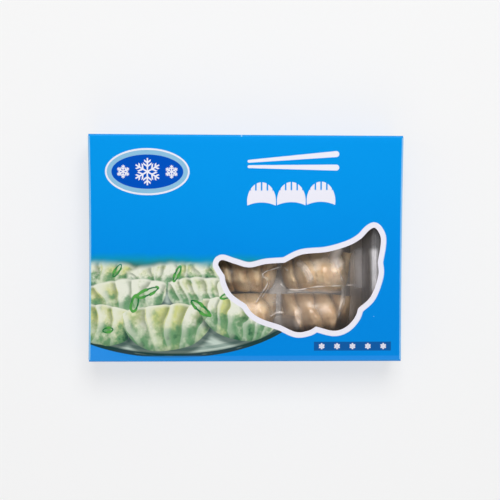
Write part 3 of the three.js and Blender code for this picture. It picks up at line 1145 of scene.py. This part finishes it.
# Folds drawn into the film where it bridges the dumplings. Each is height, width and the points it runs
# through.
creases = [
    (0.60, 0.5, [(23.2, -12.5), (12.8, -15.8), (11.5, -18.4), (14.8, -22.9), (8.3, -34.0), (7.1, -36.0)]),
    (0.35, 0.5, [(13.5, -18.4), (16.1, -22.3), (15.5, -26.2), (10.9, -32.7)]),
    (0.50, 0.6, [(34.2, -8.6), (37.5, -11.9), (40.8, -16.4), (42.8, -21.6)]),
    (0.40, 0.5, [(36.6, -8.4), (39.6, -11.6), (42.6, -16.2), (43.6, -20.0)]),
    (0.45, 0.5, [(27.2, -27.5), (35.7, -27.5), (45.4, -25.6), (58.5, -24.9), (73.5, -24.9)]),
    (0.25, 0.6, [(27.2, -29.5), (42.2, -28.2)]),
    (0.45, 1.0, [(63.4, 3.2), (62.2, -4.7), (59.6, -9.9), (62.3, -17.7), (64.4, -24.9), (64.5, -34.1),
                 (60.6, -45.9)]),
    (0.30, 0.7, [(65.0, -24.9), (65.1, -37.3), (60.6, -45.9)]),
    (0.50, 0.7, [(25.8, -12.5), (27.7, -15.1)]),
    (0.50, 0.7, [(23.2, -23.6), (27.2, -28.2)]),
    (0.45, 0.9, [(16.2, -45.2), (20.8, -43.2), (25.3, -43.2)]),
]

# Where the film is cloudy: it is doubled, or rubs on what is under it. Some are painted highlights: the
# streak and the crumple on the right and the bright strip at the end seal. Each is strength, width and
# points.
veilsAndHighlights = [
    (0.40, 1.8, [(34.2, -8.6), (37.5, -11.9), (40.8, -16.4), (42.8, -21.6)]),
    (0.80, 2.7, [(61.8, 0.5), (58.8, -6.0), (62.0, -13.0)]),
    (0.18, 5.0, [(56.0, -2.0), (58.0, -14.0), (61.0, -24.0)]),
    (0.20, 1.3, [(26.0, -29.0), (42.0, -28.8), (58.0, -29.0), (66.0, -29.0)]),
    (0.22, 2.0, [(62.3, -17.7), (64.4, -24.9), (64.5, -34.1), (60.6, -45.9)]),
    (0.14, 4.0, [(14.8, -22.9), (18.0, -27.0), (20.0, -38.0)]),
    (0.30, 6.0, [(18.0, -48.0), (27.0, -50.0), (36.0, -52.0)]),
    (0.24, 4.0, [(75.0, 0.0), (76.0, -28.0)]),
    (0.95, 2.1, [(82.9, 0.5), (83.6, -10.0), (84.6, -29.0)]),
]


# How strongly each point is under the strokes, which fade towards their ends.
def fieldOf(points, strokes, sharpness=1.0):
    total = np.zeros(len(points))
    for strength, width, run in strokes:
        gap, along = distanceToLine(points, smoothLine(run, 1.5))
        ends = np.clip(np.minimum(along, 1 - along) / 0.12, 0, 1)
        near = np.clip(1 - gap / (width * 2), 0, 1)
        body = (near * near * (3 - 2 * near)) ** sharpness
        total = np.maximum(total, strength * body * (0.25 + 0.75 * ends * (2 - ends)))
    return total


def contentHeights(tree, xs, ys):
    heights = np.zeros((len(xs), len(ys)))
    for i, x in enumerate(xs):
        for j, y in enumerate(ys):
            spot, *_ = tree.ray_cast(Vector((x, y, 60)) * mm, Vector((0, 0, -1)))
            if spot is not None:
                heights[i, j] = spot.z / mm
    return heights


# A film drawn over the contents: each point lies on what is under it or hangs between its neighbours.
def relaxedHeights(tree, xs, ys):
    under = contentHeights(tree, xs, ys) + film["lift"]
    under[[0, -1], :] = film["endHeight"]
    under[:, [0, -1]] = film["sideHeight"]
    heights = under.copy()
    for _ in range(film["rounds"]):
        sides = heights[:-2, 1:-1] + heights[2:, 1:-1] + heights[1:-1, :-2] + heights[1:-1, 2:]
        heights[1:-1, 1:-1] = np.maximum(under[1:-1, 1:-1], sides / 4 - film["sag"])
    return heights


def sampled(xs, ys, heights, x, y):
    i = np.clip(np.searchsorted(xs, x) - 1, 0, len(xs) - 2)
    j = np.clip(np.searchsorted(ys, y) - 1, 0, len(ys) - 2)
    s = (x - xs[i]) / (xs[i + 1] - xs[i])
    t = (y - ys[j]) / (ys[j + 1] - ys[j])
    lower = heights[i, j] * (1 - s) + heights[i + 1, j] * s
    upper = heights[i, j + 1] * (1 - s) + heights[i + 1, j + 1] * s
    return lower * (1 - t) + upper * t


# Lines closely spaced in the shown stretch and widely elsewhere.
def gradedLines(low, high, shown):
    start, end = max(low, shown[0]), min(high, shown[1])
    parts = [np.linspace(start, end, round((end - start) / film["fine"]) + 1)]
    if start > low:
        parts.insert(0, np.linspace(low, start, round((start - low) / film["coarse"]) + 1)[:-1])
    if high > end:
        parts.append(np.linspace(end, high, round((high - end) / film["coarse"]) + 1)[1:])
    return np.concatenate(parts)


# The upper sheet over the dumplings, and the lower one that it is drawn in to all round.
def makeFilmBody():
    graph = bpy.context.evaluated_depsgraph_get()
    tree = BVHTree.FromObject(dumplings.evaluated_get(graph), graph)
    (centreX, centreY), spans = film["middle"], (film["length"], film["width"])
    ends = [(middle - span / 2, middle + span / 2) for middle, span in zip(film["middle"], spans)]
    rough = [np.linspace(*pair, round(span / film["cell"]) + 1) for pair, span in zip(ends, spans)]
    xs, ys = (gradedLines(*pair, shown) for pair, shown in zip(ends, film["shown"]))
    x, y = (axis.ravel() for axis in np.meshgrid(xs, ys, indexing="ij"))
    places = np.stack([x, y], axis=1)
    under = contentHeights(tree, xs, ys).ravel() + film["lift"]
    heights = np.maximum(sampled(*rough, relaxedHeights(tree, *rough), x, y), under)
    inner = np.minimum(np.minimum(x - xs[0], xs[-1] - x), np.minimum(y - ys[0], ys[-1] - y))
    ripple = np.array([noise.fractal(Vector((a * 0.16, b * 0.16, 4.0)), 1.0, 2.2, 4) for a, b in places])
    rise = fieldOf(places, creases, 1.5) + film["crinkle"] * np.abs(ripple)
    points = np.stack([x, y, heights + np.clip(inner / 6, 0, 1) * rise], axis=1).tolist()
    # Painted highlights: the film is made whiter along each crease.
    lines = [(height * film["glintHaze"], film["glintWidth"], run) for height, width, run in creases]
    broken = np.clip(0.8 + 1.3 * ripple, 0.35, 1.3)
    hazeAndGlint = np.maximum(fieldOf(places, veilsAndHighlights), fieldOf(places, lines) * broken).tolist()
    index = np.arange(len(points)).reshape(len(xs), len(ys))
    corners = np.stack([index[:-1, :-1], index[1:, :-1], index[1:, 1:], index[:-1, 1:]], axis=2)
    faces = corners.reshape(-1, 4).tolist()
    rim = [int(n) for n in (*index[:-1, 0], *index[-1, :-1], *index[:0:-1, -1], *index[0, :0:-1])]
    lower = [len(points) + n for n in range(len(rim))]
    scaleX, scaleY = 1 - 2 * film["endRun"] / film["length"], 1 - 2 * film["sideRun"] / film["width"]
    for n in rim:
        inX, inY = (points[n][0] - centreX) * scaleX, (points[n][1] - centreY) * scaleY
        points.append((centreX + inX, centreY + inY, film["bed"]))
    middle = len(points)
    points.append((centreX, centreY, film["bed"]))
    rimNext, lowerNext = rim[1:] + rim[:1], lower[1:] + lower[:1]
    faces += zip(rim, lower, lowerNext, rimNext)
    faces += [(near, middle, far) for near, far in zip(lower, lowerNext)]
    return points, faces, hazeAndGlint + [0.0] * (len(points) - len(hazeAndGlint))


seal = {
    "shape": {
        "width": 112.0,
        "ribPitch": 1.6,
        "ribDepth": 0.22,
        "ribStart": 0.55,  # share of the run where the crimped seal begins
        "toothPitch": 2.0,
        "toothDepth": 0.035,
    },
    "run": [(75.3, 9.5), (77.5, 12.3), (79.4, 19.3), (81.6, 26.2), (86.5, 29.1), (94, 30.0)],
    "length": 30.0,  # about that of the run
    "grid": (121, 113),
    "hazeAndGlint": 0.12,
}


# A grid laid along a curve, with ribs across it and teeth at its end.
def makeSealTree():
    sizes = dict.fromkeys([*seal["shape"], "middle", "side"], 0.0)
    inputs = {"run": "Geometry", **sizes, "material": "Material"}
    group, given = newGroup("crimpedSeal", inputs, {"geometry": "Geometry"}, "GeometryNodeTree")
    run, width, ribPitch, ribDepth, ribStart, toothPitch, toothDepth, middle, side, material = given
    columns, rows = seal["grid"]
    sizes = {"Size X": 1.0, "Size Y": 1.0, "Vertices X": columns, "Vertices Y": rows}
    grid = addNode(group, "GeometryNodeMeshGrid", sizes)
    s, across, _ = separate(addNode(group, "GeometryNodeInputPosition", {}))
    s, y = s + 0.5, across * width
    tooth = size(fraction(y / toothPitch) - 0.5) * 2.0
    s = s * (1.0 - toothDepth * tooth * ramp(s, 0.9, 1.0))
    inputs = {"Curves": run, "Factor": s}
    spot = addNode(group, "GeometryNodeSampleCurve", inputs, "Position", mode="FACTOR")
    spotX, _, spotZ = separate(spot)
    alongX, _, alongZ = separate(treeValue(spot.socket.node.outputs["Tangent"]))
    wave = (speckle(combine(y * 0.06, s * 2.0, side), 1.0) - 0.5) * 2.0
    ribs = sine(s * (seal["length"] * 2 * math.pi) / ribPitch) * ribDepth
    out = (ribs * ramp(s, ribStart, ribStart + 0.04) + wave * ramp(s, 0.0, 0.3) * 0.9) * mm
    position = combine((spotX - alongZ * out) * side, (y + middle) * mm, spotZ + alongX * out)
    moved = addNode(group, "GeometryNodeSetPosition", {"Geometry": grid, "Position": position})
    return finishTree(group, moved, material)


def makeSeal(side, tree, material):
    line = smoothLine(seal["run"], 1.0)
    curve = bpy.data.curves.new("seal", "CURVE")
    curve.dimensions = "3D"
    spline = curve.splines.new("POLY")
    spline.points.add(len(line) - 1)
    for point, (x, z) in zip(spline.points, line):
        point.co = (x * mm, 0, z * mm, 1)
    values = {**seal["shape"], "middle": film["middle"][1], "side": float(side), "material": material}
    return meshFromTree(bpy.data.objects.new("seal", curve), tree, values)


def makeFilmMaterial():
    material, principled, point = newMaterial("clearFilm")
    along = separate(point)[0] / mm
    smear = speckle(point, 70.0, 3.0, 0.6)
    # The film's cloudiness and its painted highlights, which make it whiter and less clear.
    cloud = attribute(point.tree, "hazeAndGlint") * (0.5 + smear)
    alpha = addNode(point.tree, "ShaderNodeFresnel", {"IOR": film["ior"]}) * 0.9 + cloud * 0.9
    setInputs(principled, {
        "Base Color": blend(ramp(along, *film["tintEdge"]), film["overDough"], film["overBoard"]),
        "Metallic": film["metallic"],
        "Roughness": 0.3 + 0.4 * ramp(cloud, 0.0, 0.5),
        "Alpha": least(alpha + film["mist"] * (0.4 + 1.2 * smear), 1.0),
        "Normal": bump(speckle(point, 260.0), 0.05),
    })
    return material


def makeFilm():
    tree, material = makeSealTree(), makeFilmMaterial()
    points, faces, hazeAndGlint = makeFilmBody()
    for side in (-1, 1):
        mesh = makeSeal(side, tree, material)
        gather(points, faces, mesh, flip=side < 0)
        places = np.array([v.co.xy / mm for v in mesh.vertices])
        hazeAndGlint += list(np.maximum(fieldOf(places, veilsAndHighlights), seal["hazeAndGlint"]))
    return meshObject("film", points, faces, [material], marks={"hazeAndGlint": hazeAndGlint})


filmPiece = makeFilm()
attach(filmPiece, "root")
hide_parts("pouch")
print("film made:", len(filmPiece.data.polygons), "faces")
